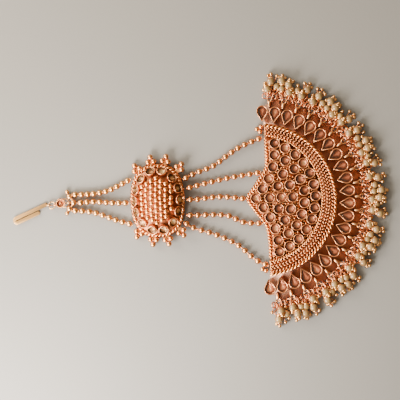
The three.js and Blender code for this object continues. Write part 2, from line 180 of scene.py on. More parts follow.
world = bpy.data.worlds.new("room")
world.use_nodes = True
world.node_tree.nodes.clear()
sky = Socket(world.node_tree).node("TexCoord", {})
across, along, rise = (sky.node("SeparateXYZ", {"Vector": sky}, output=i) for i in range(3))
windows = 0.5 - across * 0.46 + along * 0.06 + rise * 0.02
glow = windows.node("ValToRGB", {"Fac": windows}, {"stops": [
    (0.1, (0.10, 0.07, 0.045)), (0.4, (0.30, 0.235, 0.16)), (0.6, (0.70, 0.58, 0.42)),
    (0.9, (1.0, 0.87, 0.68)),
]})
room = glow.node("Background", {"Color": glow, "Strength": 1.25})
room.node("OutputWorld", {"Surface": room})
bpy.context.scene.world = world

MM = 0.001
FRAME_WIDTH = 160.0
CAMERA_HEIGHT = 750.0
SENSOR = 36.0

# The drawing's origin lies off the frame's; the flat ring at the hook shows by how much.
HOOK_RING = Vector((-59.1, -2.1, 1.2))
low, high = (Vector(corner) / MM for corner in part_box("hook_ring"))
SHIFT = (low + high) / 2 - HOOK_RING

camera_data = bpy.data.cameras.new("camera")
camera_data.sensor_width = SENSOR
camera_data.lens = SENSOR * CAMERA_HEIGHT / FRAME_WIDTH
camera = bpy.data.objects.new("camera", camera_data)
camera.location = Vector((SHIFT.x, SHIFT.y, CAMERA_HEIGHT)) * MM
bpy.context.collection.objects.link(camera)
bpy.context.scene.camera = camera

# ---- The hair hook ----
# A flat wire of pale gilt brass, bent double so that its two legs grip the hair. Its eye, an
# upright loop, is soldered to the end of its longer leg.

HOOK = {"place": (-60.8, -2.5), "turn": 25.0, "length": 15.17, "leg": 1.5, "slot": 0.3}
HOOK_BACK_LEG = 10.5
HOOK_THICK = 0.8
HOOK_BEVEL = 0.3
HOOK_EYE = (-60.45, -2.1)
EYE_RADIUS = 0.92
EYE_WIRE = 0.28
WIRE_Z = 1.2


def upright(place):
    """How far a surface lies level: 1 on crests and flat faces, and 0 on upright sides."""
    normal = place.node("NewGeometry", {}, output=1)
    return abs(normal.node("SeparateXYZ", {"Vector": normal}, output=2))


def plated(name, crest, shaded_side, roughness):
    """Plated metal with shade painted on: bright on its crests and level faces, dark on its upright
    sides.
    """
    material, place = blank_material(name)
    cloud = place.noise(420.0, detail=3.0)
    fine = place.noise(5200.0, detail=2.0)
    # Painted shade: darker where the faces stand upright, with soft clouds of tone.
    tone = upright(place) ** 1.5 * 1.1 + cloud * 0.3 - 0.25
    surface(
        place,
        Base_Color=tone.mix((*shaded_side, 1), (*crest, 1)),
        Metallic=1.0,
        Roughness=fine * 0.12 + cloud * 0.08 + (roughness - 0.1),
        Normal=fine.bump(0.00002, 0.5),
    )
    return material


PALE_GOLD = plated("pale_gold", (1.0, 0.57, 0.23), (0.62, 0.29, 0.11), 0.28)
ROSE_GOLD = plated("rose_gold", (0.95, 0.45, 0.17), (0.60, 0.25, 0.12), 0.27)


def part(name, slot, meshes, material, *nodes):
    """Joins drawn meshes, in millimetres, into one finished piece that replaces the nodes."""
    bm = bmesh.new()
    for drawn in meshes:
        bm.from_mesh(drawn)
    bm.transform(Matrix.Scale(MM, 4) @ Matrix.Translation(SHIFT))
    piece = finished(name, bm, material)
    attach(piece, "root")
    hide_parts(*nodes)


def mesh_from(bm, smooth=True):
    """The bmesh as a mesh, with its faces turned outwards."""
    bmesh.ops.recalc_face_normals(bm, faces=bm.faces)
    for face in bm.faces:
        face.smooth = smooth
    mesh = bpy.data.meshes.new("drawn")
    bm.to_mesh(mesh)
    bm.free()
    return mesh


def arc(radius, start, end, steps, centre=(0.0, 0.0)):
    """Points on an arc, with its angles in degrees."""
    turns = [math.radians(start + (end - start) * i / steps) for i in range(steps + 1)]
    return [(centre[0] + radius * math.cos(a), centre[1] + radius * math.sin(a)) for a in turns]


def slab(outline, bottom, top, bevel=0.0, place=Matrix()):
    """A plate cut to an outline, with the edges of its upper face rounded."""
    bm = bmesh.new()
    corners = [bm.verts.new((x, y, bottom)) for x, y in outline]
    base = bm.faces.new(corners)
    grown = bmesh.ops.extrude_face_region(bm, geom=[base])["geom"]
    raised = [item for item in grown if isinstance(item, bmesh.types.BMVert)]
    bmesh.ops.translate(bm, verts=raised, vec=(0, 0, top - bottom))
    if bevel:
        rim = [edge for edge in bm.edges if all(v.co.z > top - 1e-4 for v in edge.verts)]
        bmesh.ops.bevel(
            bm, geom=rim, offset=bevel, offset_type="OFFSET", segments=3, profile=0.5,
            affect="EDGES", material=-1, clamp_overlap=True,
        )
    bm.transform(place)
    return mesh_from(bm)


def turned(profile, steps, closed=False):
    """A shape turned on a lathe, from its (radius, height) points."""
    bm = bmesh.new()
    verts = [bm.verts.new((radius, 0, height)) for radius, height in profile]
    ends = verts[1:] + verts[:1] if closed else verts[1:]
    edges = [bm.edges.new(pair) for pair in zip(verts, ends)]
    bmesh.ops.spin(
        bm, geom=verts + edges, cent=(0, 0, 0), axis=(0, 0, 1), angle=math.tau, steps=steps,
        use_merge=True,
    )
    bmesh.ops.remove_doubles(bm, verts=bm.verts, dist=1e-5)
    return mesh_from(bm)


def ring(radius, wire, steps=24, sides=8):
    """A closed ring of round wire, lying flat."""
    return turned(arc(wire, 0, 360 - 360 / sides, sides - 1, (radius, 0.0)), steps, closed=True)


def strewn(pattern, places, tones=None, fall=0.0):
    """One mesh with a copy of the pattern at every place. Each copy may carry its own tone, which
    falls off towards the pattern's highest points, as painted shade."""
    count = len(pattern.vertices)
    points = [place @ vertex.co for place in places for vertex in pattern.vertices]
    faces = [
        [corner + i * count for corner in polygon.vertices]
        for i in range(len(places))
        for polygon in pattern.polygons
    ]
    mesh = bpy.data.meshes.new("strewn")
    mesh.from_pydata(points, [], faces)
    mesh.polygons.foreach_set("use_smooth", [pattern.polygons[0].use_smooth] * len(faces))
    if tones:
        spread = mesh.attributes.new("tone", "FLOAT", "POINT")
        heights = [vertex.co.z for vertex in pattern.vertices]
        reach = max(heights) - min(heights)
        falls = [fall * (height - min(heights)) / reach for height in heights]
        spread.data.foreach_set("value", [tone - down for tone in tones for down in falls])
    return mesh


def moved(x, y, z, turn=0.0, axis="Z"):
    """The matrix of a place, turned there by an angle in degrees."""
    return Matrix.Translation((x, y, z)) @ Matrix.Rotation(math.radians(turn), 4, axis)


def eyes(*spots):
    """Upright loops of wire for the jump rings to pass through."""
    return strewn(ring(EYE_RADIUS, EYE_WIRE), [moved(x, y, WIRE_Z, 90, "X") for x, y in spots])


leg, length = HOOK["leg"], HOOK["length"]
gap = HOOK["slot"] / 2
edge = leg + gap
hook_outline = (
    arc(edge, 90, 270, 16, (edge - length, 0.0))
    + arc(leg / 2, -90, 90, 8, (HOOK_BACK_LEG - length, leg / 2 - edge))
    + arc(gap, 270, 90, 4, (leg - length, 0.0))
    + [(-HOOK_BEVEL, gap), (0.0, gap + HOOK_BEVEL), (0.0, edge - HOOK_BEVEL), (-HOOK_BEVEL, edge)]
)
HOOK_GOLD = plated("hook_gold", (0.88, 0.54, 0.22), (0.52, 0.25, 0.08), 0.38)
hook_place = moved(*HOOK["place"], 0.0, HOOK["turn"])
hook_mesh = slab(hook_outline, 0.0, HOOK_THICK, HOOK_BEVEL, hook_place)
part("hair_hook_wire", "pale_gold", [hook_mesh, eyes(HOOK_EYE)], HOOK_GOLD, "hair_hook")

# ---- The hook's ring ----
# A jump ring of thin gilt wire. It is closed through the hook's eye and the top stone's, and
# hangs loose in both.

HOOK_RING_RADIUS = 1.35
LINK_WIRE = 0.22
link = strewn(ring(HOOK_RING_RADIUS, LINK_WIRE), [moved(*HOOK_RING)])
part("hook_jump_ring", "pale_gold", [link], PALE_GOLD, "hook_ring")

# ---- The top stone ----
# A small round champagne glass in a cup whose lip is a twisted wire. A loop is soldered to each
# side of the cup: one for the hook's ring and one for the spacer's.

TOP_STONE = Vector((-55.6, -1.3, 1.55))
TOP_FLOOR = [(0.0, 0.0), (1.7, 0.0), (1.7, 0.2), (0.0, 0.2)]
TOP_EYE = (-57.75, -2.1)
TOP_TONE = 1.3
LIP = {"radius": 1.62, "z": 0.98, "twist": 0.16, "wire": 0.17, "turns": 14, "steps": 112}
SPACER_RING = Vector((-54.0, -1.2, 1.02))
SPACER_RING_RADIUS = 1.65


def cut_glass(name, tint, index=1.45):
    """The clear crown of a foil-backed glass, tinted, and glossier at a slant."""
    material, place = blank_material(name)
    ripple = place.noise(700.0, detail=1.0).bump(0.00004, 0.3)
    inside = place.node("NewGeometry", {}, output=6)
    gloss = place.node("Fresnel", {"IOR": index, "Normal": ripple}) * (1.0 - inside)
    clear = place.node("BsdfTransparent", {"Color": (*tint, 1)})
    shine = place.node("BsdfGlossy", {"Roughness": 0.06, "Normal": ripple})
    crown = place.node("MixShader", {0: gloss, 1: clear, 2: shine})
    place.node("OutputMaterial", {"Surface": crown})
    return material


def foil_back(name, dark, deep, warm, light):
    """The foil that is painted on a glass's back: a tone for each stone, with worn patches, and a
    painted highlight at its hub.
    """
    material, place = blank_material(name)
    tone = place.node("Attribute", {}, {"attribute_name": "tone"}, output=2)
    patches = place.noise(900.0, detail=2.0)
    shade = tone.node("ValToRGB", {"Fac": tone + patches * 0.5 - 0.25}, {"stops": [
        (0.0, dark), (0.35, deep), (0.7, warm), (1.0, light),
    ]})
    surface(
        place, Base_Color=shade, Metallic=0.4, Roughness=patches * 0.2 + 0.2,
        Normal=patches.bump(0.0001, 0.4),
    )
    return material


GLASS = cut_glass("champagne_glass", (0.97, 0.93, 0.90))
FOIL = foil_back(
    "foil", (0.12, 0.038, 0.018), (0.44, 0.155, 0.085), (0.82, 0.38, 0.23), (1.0, 0.78, 0.50),
)
# Painted highlight and shade: each foil is lightest at its hub, set aside, and darker to its rim.
FOIL_SHADE_FALL = 1.4
FOIL_RIM = 0.5
FOIL_HUB = {"radius": 0.5, "aside": 0.35}


def faceted(outline, levels):
    """A cut stone: its outline is raised, and drawn in or out, from level to level."""
    bm = bmesh.new()
    height, share = levels[0]
    top = bm.faces.new([bm.verts.new((x * share, y * share, height)) for x, y in outline])
    for (higher, wider), (height, share) in zip(levels[1:], levels):
        raised = bmesh.ops.extrude_face_region(bm, geom=[top])["geom"]
        top = next(item for item in raised if isinstance(item, bmesh.types.BMFace))
        bmesh.ops.translate(bm, verts=top.verts, vec=(0, 0, higher - height))
        bmesh.ops.scale(bm, verts=top.verts, vec=(wider / share, wider / share, 1))
    return mesh_from(bm, smooth=False)


def foil_under(outline, depth, girdle):
    """The foil on a stone's back: a ring of facets and a steeper one, round a hub set aside."""
    bm = bmesh.new()
    base = bm.faces.new([bm.verts.new((x, y, girdle)) for x, y in outline])
    base.normal_update()
    reach = min(Vector((x, y)).length for x, y in outline)
    for width, aside, drop in (
        (FOIL_RIM, 0, 0.3), (reach - FOIL_RIM - FOIL_HUB["radius"], FOIL_HUB["aside"], 0.55),
    ):
        bmesh.ops.inset_individual(bm, faces=[base], thickness=width)
        bmesh.ops.translate(bm, verts=base.verts, vec=(aside, 0, -depth * drop))
    bmesh.ops.poke(bm, faces=[base])["verts"][0].co.z -= depth * 0.15
    mesh = mesh_from(bm, smooth=False)
    if mesh.polygons[0].normal.z < 0:  # An open sheet has no outside: the foil faces up.
        mesh.flip_normals()
    return mesh


def cup(outer, inner, bottom, lip, steps=20):
    """A stone's cup: a thin wall whose lip is rounded over."""
    middle = (outer + inner) / 2
    edge = (outer - inner) / 2
    lip_arc = [(middle + x, lip - edge + y) for x, y in arc(edge, 0, 180, 4)]
    return turned([(outer, bottom)] + lip_arc + [(inner, bottom)], steps, closed=True)


# A cut's levels are heights and shares of the outline. A glass is its outline, its cut, and the
# depth of its foil and the height that the foil starts from.
TOP_CUT = [(0.68, 1.0), (0.75, 1.0), (1.0, 0.75), (1.1, 0.5)]
TOP_GLASS = (arc(1.5, 0, 315, 7), TOP_CUT, 0.5, 0.65)


def stones(name, stone, places, tones, nodes, glass=GLASS, foil=FOIL):
    """Glasses of one cut at the given places, and the foil on their backs."""
    outline, cut, depth, girdle = stone
    crown = faceted(outline, cut)
    back = foil_under(outline, depth, girdle)
    part(name + "_glass", "stone", [strewn(crown, places)], glass, *nodes)
    part(name + "_foil", "stone", [strewn(back, places, tones, FOIL_SHADE_FALL)], foil, *nodes)


UP = Vector((0, 0, 1))


def twisted(path, radius, pitch, closed=False):
    """Paths of the two strands of a twisted wire, along a path of evenly spaced points."""
    path = [Vector(point) for point in path]
    count = len(path)
    step = (path[1] - path[0]).length
    lines = [], []
    for line, start in zip(lines, (0.0, 0.5)):
        for i, point in enumerate(path):
            ahead = path[(i + 1) % count] if closed else path[min(i + 1, count - 1)]
            behind = path[i - 1] if closed or i else path[0]
            side = (ahead - behind).cross(UP).normalized()
            turn = math.tau * (i * step / pitch + start)
            line.append(point + (side * math.cos(turn) + UP * math.sin(turn)) * radius)
    return lines


def drawn_wire(paths, radius, closed=False):
    """Round wires along the given paths, as one mesh."""
    curve = bpy.data.curves.new("wire", "CURVE")
    curve.dimensions = "3D"
    curve.bevel_depth = radius
    curve.bevel_resolution = 1
    curve.use_fill_caps = not closed
    for path in paths:
        spline = curve.splines.new("POLY")
        spline.points.add(len(path) - 1)
        for point, place in zip(spline.points, path):
            point.co = (*place, 1.0)
        spline.use_cyclic_u = closed
        spline.use_smooth = True
    holder = bpy.data.objects.new("wire", curve)
    mesh = bpy.data.meshes.new_from_object(holder)
    bpy.data.objects.remove(holder)
    bpy.data.curves.remove(curve)
    return mesh


def level(points, z):
    return [(x, y, z) for x, y in points]


lip_circle = level(arc(LIP["radius"], 0, 360 - 360 / LIP["steps"], LIP["steps"] - 1), LIP["z"])
lip_pitch = math.tau * LIP["radius"] / LIP["turns"]
lip_rope = drawn_wire(twisted(lip_circle, LIP["twist"], lip_pitch, closed=True), LIP["wire"], True)
on_stone = [moved(*TOP_STONE)]
top_cup = [cup(1.8, 1.45, 0.0, 0.95), turned(TOP_FLOOR, 20), lip_rope]
top_cup = [strewn(mesh, on_stone) for mesh in top_cup]
top_cup.append(eyes(TOP_EYE, (SPACER_RING.x - SPACER_RING_RADIUS, SPACER_RING.y)))
part("top_stone_cup", "rose_gold", top_cup, ROSE_GOLD, "top_stone")
stones("top_stone", TOP_GLASS, on_stone, [TOP_TONE], ["top_stone"])

# ---- The spacer and its ring ----
# A jump ring joins the top stone to the spacer, a bent bar that carries three gilt balls and a
# smaller one at each end. Each of the upper strings begins at one of the three.

SPACER_ROUTE = [(-53.2, 3.5), (-52.8, 2.2), (-50.5, -1.2), (-52.8, -4.3), (-53.1, -5.6)]
SPACER = {"wire": 0.42, "steps": 40, "balls": (9, 20, 31), "ends": (1, -2)}
BALL = 1.2
END_BALL = 0.85


def smooth_path(points, count):
    """Evenly spaced points along a smooth curve that passes through the given points."""
    knots = [Vector(point) for point in points]
    knots = [2 * knots[0] - knots[1]] + knots + [2 * knots[-1] - knots[-2]]
    dense = []
    for before, start, end, after in zip(knots, knots[1:], knots[2:], knots[3:]):
        a, b, c = (
            max((q - p).length, 1e-6) ** 0.5
            for p, q in ((before, start), (start, end), (end, after))
        )
        leave = (start - before) / a - (end - before) / (a + b) + (end - start) / b
        arrive = (end - start) / b - (after - start) / (b + c) + (after - end) / c
        leave, arrive = leave * b, arrive * b
        for i in range(40):
            t = i / 40
            dense.append(
                start * (2 * t**3 - 3 * t**2 + 1)
                + leave * (t**3 - 2 * t**2 + t)
                + end * (3 * t**2 - 2 * t**3)
                + arrive * (t**3 - t**2)
            )
    dense.append(knots[-2])
    return evenly(dense, count)


def evenly(dense, count):
    """Evenly spaced points on a line of many points."""
    reach = [0.0]
    for first, second in zip(dense, dense[1:]):
        reach.append(reach[-1] + (second - first).length)
    spots = []
    index = 0
    for i in range(count):
        wanted = reach[-1] * i / (count - 1)
        while index < len(dense) - 2 and reach[index + 1] < wanted:
            index += 1
        share = (wanted - reach[index]) / max(reach[index + 1] - reach[index], 1e-9)
        spots.append(dense[index].lerp(dense[index + 1], min(share, 1.0)))
    return spots


def ball(radius, subdivisions=3):
    bm = bmesh.new()
    bmesh.ops.create_icosphere(bm, subdivisions=subdivisions, radius=radius)
    return mesh_from(bm)


link = strewn(ring(SPACER_RING_RADIUS, LINK_WIRE), [moved(*SPACER_RING)])
part("spacer_jump_ring", "pale_gold", [link], PALE_GOLD, "spacer_ring")
spacer_path = smooth_path(level(SPACER_ROUTE, WIRE_Z), SPACER["steps"] + 1)
spacer = [
    drawn_wire([spacer_path], SPACER["wire"]),
    strewn(ball(BALL), [moved(*spacer_path[i]) for i in SPACER["balls"]]),
    strewn(ball(END_BALL), [moved(*spacer_path[i]) for i in SPACER["ends"]]),
    eyes((SPACER_RING.x + SPACER_RING_RADIUS, SPACER_RING.y)),
]
part("spacer_bar", "pale_gold", spacer, PALE_GOLD, "top_spacer")

# ---- The strings of balls ----
# Hollow gilt balls on wire, each between two small collars. Three strings run from the spacer to
# the plaque, and five from the plaque to the fan's edge.

# Each string's balls, the lengths from its ends to its first and its last ball, and its route.
UPPER_STRINGS = [
    (10, 1.3, 1.9, [
        (-51.1, 2.1, 1.2), (-42.6, 2.5, 1.2), (-36.8, 3.7, 1.2), (-31.8, 6.1, 1.2),
        (-27.2, 8.6, 1.2)]),
    (8, 1.3, 1.5, [(-49.0, -1.2, 1.2), (-42.2, -0.7, 1.2), (-36.4, -1.1, 1.2), (-28.3, -1.2, 1.2)]),
    (9, 1.3, 1.5, [(-51.1, -4.2, 1.2), (-42.5, -5.0, 1.2), (-33.6, -8.0, 1.2), (-26.8, -9.9, 1.2)]),
]
LOWER_STRINGS = [
    (12, 1.5, 1.5, [
        (-6.8, 8.1, 2.9), (-3.1, 10.2, 1.7), (5.6, 13.8, 1.25), (11.0, 17.9, 1.2),
        (16.0, 21.2, 1.2), (24.8, 25.0, 1.2)]),
    (10, 1.5, 1.5, [(-5.5, 4.6, 2.9), (-1.2, 5.8, 1.7), (10.9, 8.7, 1.25), (24.4, 11.1, 1.2)]),
    (8, 1.5, 1.5, [(-5.3, 0.2, 2.9), (-1.2, 0.3, 1.7), (7.8, 1.3, 1.25), (18.45, 0.5, 1.2)]),
    (10, 1.5, 1.5, [
        (-5.4, -6.0, 2.9), (-1.2, -6.0, 1.7), (11.4, -6.3, 1.25), (17.1, -8.8, 1.2),
        (25.05, -9.4, 1.2)]),
    (12, 1.5, 1.5, [
        (-6.5, -8.7, 2.9), (-2.7, -11.0, 1.7), (6.8, -14.0, 1.25), (15.2, -18.0, 1.2),
        (22.5, -24.0, 1.2), (27.4, -26.2, 1.2)]),
]
STRING_WIRE = 0.26
STRING_STEPS = 240
STRING_BALL = ball(BALL)
COLLAR = ring(0.52, 0.17, steps=12, sides=6)


def facing(place, along):
    """The matrix of a place whose Z axis points along a direction."""
    turn = UP.rotation_difference(along)
    return Matrix.Translation(place) @ turn.to_matrix().to_4x4()


def ball_string(balls, lead, tail, route):
    """A string's balls, collars and wire."""
    path = smooth_path(route, STRING_STEPS + 1)
    length = sum((b - a).length for a, b in zip(path, path[1:]))
    pitch = (length - lead - tail) / (balls - 1)

    def spot(reach):
        i = min(max(round(reach / length * STRING_STEPS), 1), STRING_STEPS - 1)
        return facing(path[i], path[i + 1] - path[i - 1])

    places = [spot(lead + i * pitch) for i in range(balls)]
    collars = [spot(lead + (i - 0.5) * pitch) for i in range(balls + 1)]
    wire = drawn_wire([path[::6]], STRING_WIRE)
    return [strewn(STRING_BALL, places), strewn(COLLAR, collars), wire]


for side, slot, finish, rows in (
    ("upper", "pale_gold", PALE_GOLD, UPPER_STRINGS),
    ("lower", "rose_gold", ROSE_GOLD, LOWER_STRINGS),
):
    for number, row in enumerate(rows, 1):
        node = f"{side}_string_{number}"
        part(node + "_balls", slot, ball_string(*row), finish, node)

# ---- The plaque's body ----
# A domed oval plate of cast metal, with a twisted wire soldered round its edge. It lies tilted,
# because the lower strings hold up its pearl side.

PLAQUE = {"place": (-16.8, -0.2), "turn": 2.0, "tilt": 6.0, "half_width": 11.0, "half_length": 15.0}
SQUARENESS = 2.5
PLAQUE_PROFILE = [
    (0.0, 0.0), (0.96, 0.0), (0.99, 0.5), (0.95, 0.9), (0.87, 1.3), (0.74, 2.3), (0.62, 3.2),
    (0.56, 4.2), (0.3, 5.7), (0.0, 6.1),
]
EDGE_ROPE = {"share": 0.915, "z": 1.1, "strand": 0.48, "pitch": 2.8}
# The plate is painted dark, as the shade between the stones and the edge rope.
SHADED_GOLD = plated("shaded_gold", (0.40, 0.155, 0.075), (0.27, 0.10, 0.048), 0.5)
foot = PLAQUE_PROFILE[1][0]
lift = foot * PLAQUE["half_width"] * math.sin(math.radians(PLAQUE["tilt"]))
PLAQUE_PLACE = moved(*PLAQUE["place"], lift, PLAQUE["turn"]) @ moved(0, 0, 0, -PLAQUE["tilt"], "Y")


def on_oval(share, angle):
    """A point of the plaque's squared oval, as a share of its half width, by its angle."""
    power = 2 / SQUARENESS
    x, y = math.cos(angle), math.sin(angle)
    return Vector((
        share * PLAQUE["half_width"] * math.copysign(abs(x) ** power, x),
        share * PLAQUE["half_length"] * math.copysign(abs(y) ** power, y),
        0.0,
    ))


plaque_plate = turned(PLAQUE_PROFILE, 72)
for vertex in plaque_plate.vertices:
    x, y, z = vertex.co
    place = on_oval(math.hypot(x, y), math.atan2(y, x))
    vertex.co = (place.x, place.y, z)
edge_line = [on_oval(EDGE_ROPE["share"], math.tau * i / 360) for i in range(361)]
edge_line = [Vector((p.x, p.y, EDGE_ROPE["z"])) for p in evenly(edge_line, 421)][:-1]
edge_length = sum((b - a).length for a, b in zip(edge_line, edge_line[1:] + edge_line[:1]))
edge_pitch = edge_length / round(edge_length / EDGE_ROPE["pitch"])


def rope(path, strand, pitch, place, closed=False):
    """Two strands of wire twisted together, along a path on the part at the given place."""
    return strewn(drawn_wire(twisted(path, strand, pitch, closed=closed), strand, closed), [place])


edge_rope = rope(edge_line, EDGE_ROPE["strand"], edge_pitch, PLAQUE_PLACE, closed=True)
plaque_body = [strewn(plaque_plate, [PLAQUE_PLACE])]
part("plaque_plate", "rose_gold", plaque_body, SHADED_GOLD, "plaque")
part("plaque_edge_rope", "rose_gold", [edge_rope], ROSE_GOLD, "plaque")

# ---- The plaque's ring of stones ----
# Fourteen round glasses in thin cups, soldered square to the dome all round it. Their foils are
# paler than the fan's, and painted darker on the side of the hook, as shade.

SETTING_RING = {"stones": 14, "x": 8.6, "y": 11.6, "z": 2.5, "sunk": 0.8}
DOME_SLOPE = 10.95
FOIL_SIDE_SHADE = 0.4
PLAQUE_CUP = cup(2.1, 1.74, 0.0, 2.1, 24)
CUP_GOLD = plated("cup_gold", (0.92, 0.42, 0.20), (0.60, 0.25, 0.125), 0.32)
PLAQUE_CUT = [(1.43, 1.0), (1.5, 1.0), (1.8, 0.75), (1.92, 0.48)]
PLAQUE_GLASS = (arc(1.78, 0, 315, 7), PLAQUE_CUT, 0.6, 1.4)
DULL_GLASS = cut_glass("dull_glass", (0.97, 0.95, 0.90), 1.22)
PALE_FOIL = foil_back(
    "pale_foil", (0.10, 0.045, 0.022), (0.36, 0.17, 0.10), (0.80, 0.48, 0.29), (1.0, 0.86, 0.62),
)


def oval_share(x, y):
    """The share of the plaque's half width at which its squared oval passes through a point."""
    u = abs(x / PLAQUE["half_width"])
    v = abs(y / PLAQUE["half_length"])
    return (u**SQUARENESS + v**SQUARENESS) ** (1 / SQUARENESS)


def setting_places():
    """Places evenly round an ellipse, each square to the dome under it."""
    ellipse = [
        Vector((SETTING_RING["x"] * math.cos(a), SETTING_RING["y"] * math.sin(a), 0.0))
        for a in (math.tau * (0.25 + i / 720) for i in range(721))
    ]
    spots = evenly(ellipse, 2 * SETTING_RING["stones"] + 1)[1::2]
    power = SQUARENESS - 1
    places = []
    for spot in spots:
        share = oval_share(spot.x, spot.y)
        lean_x, lean_y = (
            DOME_SLOPE * math.copysign((abs(reach / half) / share) ** power, reach) / half
            for reach, half in zip(spot, (PLAQUE["half_width"], PLAQUE["half_length"]))
        )
        seat = facing(Vector((spot.x, spot.y, SETTING_RING["z"])), Vector((lean_x, lean_y, 1.0)))
        places.append(PLAQUE_PLACE @ seat @ moved(0, 0, -SETTING_RING["sunk"]))
    return places


dice = random.Random(5)
on_plaque = setting_places()
spun = [place @ moved(0, 0, 0, dice.uniform(0, 45)) for place in on_plaque]
hook_side = [place.translation.x - PLAQUE_PLACE.translation.x for place in on_plaque]
part("plaque_cups", "rose_gold", [strewn(PLAQUE_CUP, on_plaque)], CUP_GOLD, "plaque")
# Painted shade: the foils on the hook's side are made darker.
tones = [dice.uniform(0.95, 1.45) - (FOIL_SIDE_SHADE if x < 0 else 0.0) for x in hook_side]
stones("plaque", PLAQUE_GLASS, spun, tones, ["plaque"], DULL_GLASS, PALE_FOIL)

# ---- The plaque's field of balls ----
# Fifty gilt balls in close rows, soldered to the raised middle of the dome. They are set by
# hand, so no two lie quite in line.

FIELD_BALL = 1.08
FIELD_PITCH = 2.2
FIELD_SHARE = 0.6
JITTER = 0.16
CREST = [(0.0, 6.0), (0.3, 5.57), (0.5, 4.9), (0.62, 3.9)]


def height_on(profile, share):
    """The height at a share of the half width, on straight stretches between the rows."""
    for (near, upper), (far, lower) in zip(profile, profile[1:]):
        if share <= far:
            return upper + (lower - upper) * (share - near) / (far - near)
    return profile[-1][1]


field_places = []
for row in range(-5, 6):
    for column in range(-6, 7):
        x = row * FIELD_PITCH * math.sin(math.radians(60)) + dice.uniform(-JITTER, JITTER)
        y = (column + 0.5 * (row % 2)) * FIELD_PITCH + dice.uniform(-JITTER, JITTER)
        share = oval_share(x, y)
        if share < FIELD_SHARE:
            field_places.append(PLAQUE_PLACE @ moved(x, y, height_on(CREST, share)))
field_balls = [strewn(ball(FIELD_BALL), field_places)]
part("plaque_balls", "rose_gold", field_balls, ROSE_GOLD, "plaque")

# ---- The plaque's trefoils ----
# Eight trefoils of three gilt balls each, four along each short side. A short flat root carries
# each one and is soldered under the plate's edge.

TREFOIL_TIPS = [(-8.8, 14.2), (-2.4, 17.4), (4.0, 17.4), (10.1, 14.2)]
TREFOIL = {"ball": 1.12, "inward": 1.9, "apart": 1.15, "root": 3.8, "z": 1.1, "fan": 0.9}
TREFOIL_ROOT = [(0.0, -0.9), (2.6, -0.7), (2.6, 0.7), (0.0, 0.9)]
trefoil_places = []
root_places = []
for x, y in TREFOIL_TIPS + [(x, -y) for x, y in TREFOIL_TIPS]:
    turn = math.degrees(math.atan2(y, TREFOIL["fan"] * x))
    tip = PLAQUE_PLACE @ moved(x, y, TREFOIL["z"], turn)
    back, apart = -TREFOIL["inward"], TREFOIL["apart"]
    trefoil_places += [tip, tip @ moved(back, apart, 0), tip @ moved(back, -apart, 0)]
    root_places.append(tip @ moved(-TREFOIL["root"], 0, 0))
root = slab(TREFOIL_ROOT, -0.7, 0.1, bevel=0.2)
trefoils = [strewn(ball(TREFOIL["ball"]), trefoil_places), strewn(root, root_places)]
part("plaque_trefoils", "rose_gold", trefoils, ROSE_GOLD, "plaque")

# ---- The fan's back plate ----
# A thin plate of gilt brass that carries the whole fan. Its outer edge is cut in a lobe behind
# each teardrop, and a twisted wire is soldered along its bracket-shaped inner edge.

FAN = {"place": (24.2, -0.2), "turn": 2.5, "rim": 30.4, "plate": 0.9, "top": 1.2}
FAN_PLACE = moved(*FAN["place"], 0.0, FAN["turn"])
DROPS = 22
SPAN = 173.25
PITCH = SPAN / (DROPS - 1)
LOBE = {"peak": 41.0, "valley": 38.95, "end": 37.4, "roundness": 0.7, "steps": 12}
BRACKET = [
    (3.1, 24.9), (3.1, 18.5), (2.7, 12.8), (0.7, 9.7), (-2.1, 5.5), (-5.0, 1.2), (-2.4, -3.6),
    (-0.1, -6.8), (1.9, -9.7), (2.7, -12.8), (3.1, -17.9), (3.1, -23.4),
]
CORNER = (2.5, 29.7)
BRACKET_ROPE = {"strand": 0.42, "z": 1.1, "pitch": 2.6}


def drop_angle(index):
    """The angle of a teardrop on the rim, in degrees, counted from the fan's upper corner."""
    return SPAN / 2 - index * PITCH


def lobed_edge():
    """The outer edge of the plate: a rounded lobe behind every teardrop."""
    steps = LOBE["steps"]
    points = []
    for i in range(steps * (DROPS - 1) + 1):
        swell = abs(math.cos(math.pi * i / steps)) ** LOBE["roundness"]
        radius = LOBE["valley"] + (LOBE["peak"] - LOBE["valley"]) * swell
        from_end = min(i, steps * (DROPS - 1) - i) / steps
        if from_end < 0.5:
            radius = LOBE["end"] + (LOBE["valley"] - LOBE["end"]) * from_end / 0.5
        turn = math.radians(drop_angle(i / steps))
        points.append((radius * math.cos(turn), radius * math.sin(turn)))
    return points


def plate_metal():
    """Gilt brass that is darker where polishing doesn't reach, in soft clouds."""
    material, place = blank_material("plate_metal")
    cloud = place.noise(260.0, detail=4.0, roughness=0.6)
    fine = place.noise(3800.0, detail=3.0)
    colour = (cloud * 1.4 - 0.2).mix((0.60, 0.32, 0.22, 1), (0.84, 0.52, 0.39, 1))
    surface(
        place, Base_Color=colour, Metallic=1.0, Roughness=fine * 0.15 + cloud * 0.1 + 0.26,
        Normal=fine.bump(0.00003, 0.6),
    )
    return material


bracket_path = smooth_path(level(BRACKET, BRACKET_ROPE["z"]), 321)
back_edge = [(point.x, point.y) for point in bracket_path[::5]]
plate_outline = [CORNER] + lobed_edge() + [(CORNER[0], -CORNER[1])] + back_edge[::-1]
plate = slab(plate_outline, 0.0, FAN["plate"], place=FAN_PLACE)
part("fan_back_plate", "rose_gold", [plate], plate_metal(), "fan_plate")
bracket_rope = rope(bracket_path, BRACKET_ROPE["strand"], BRACKET_ROPE["pitch"], FAN_PLACE)
part("fan_edge_rope", "rose_gold", [bracket_rope], ROSE_GOLD, "fan_plate")

# ---- The fan's tabs ----
# A folded tab of bright gilt strip between every two teardrops, with a rounded crown. Its split
# end is bent round the jump rings that a bunch of pearls hangs from.

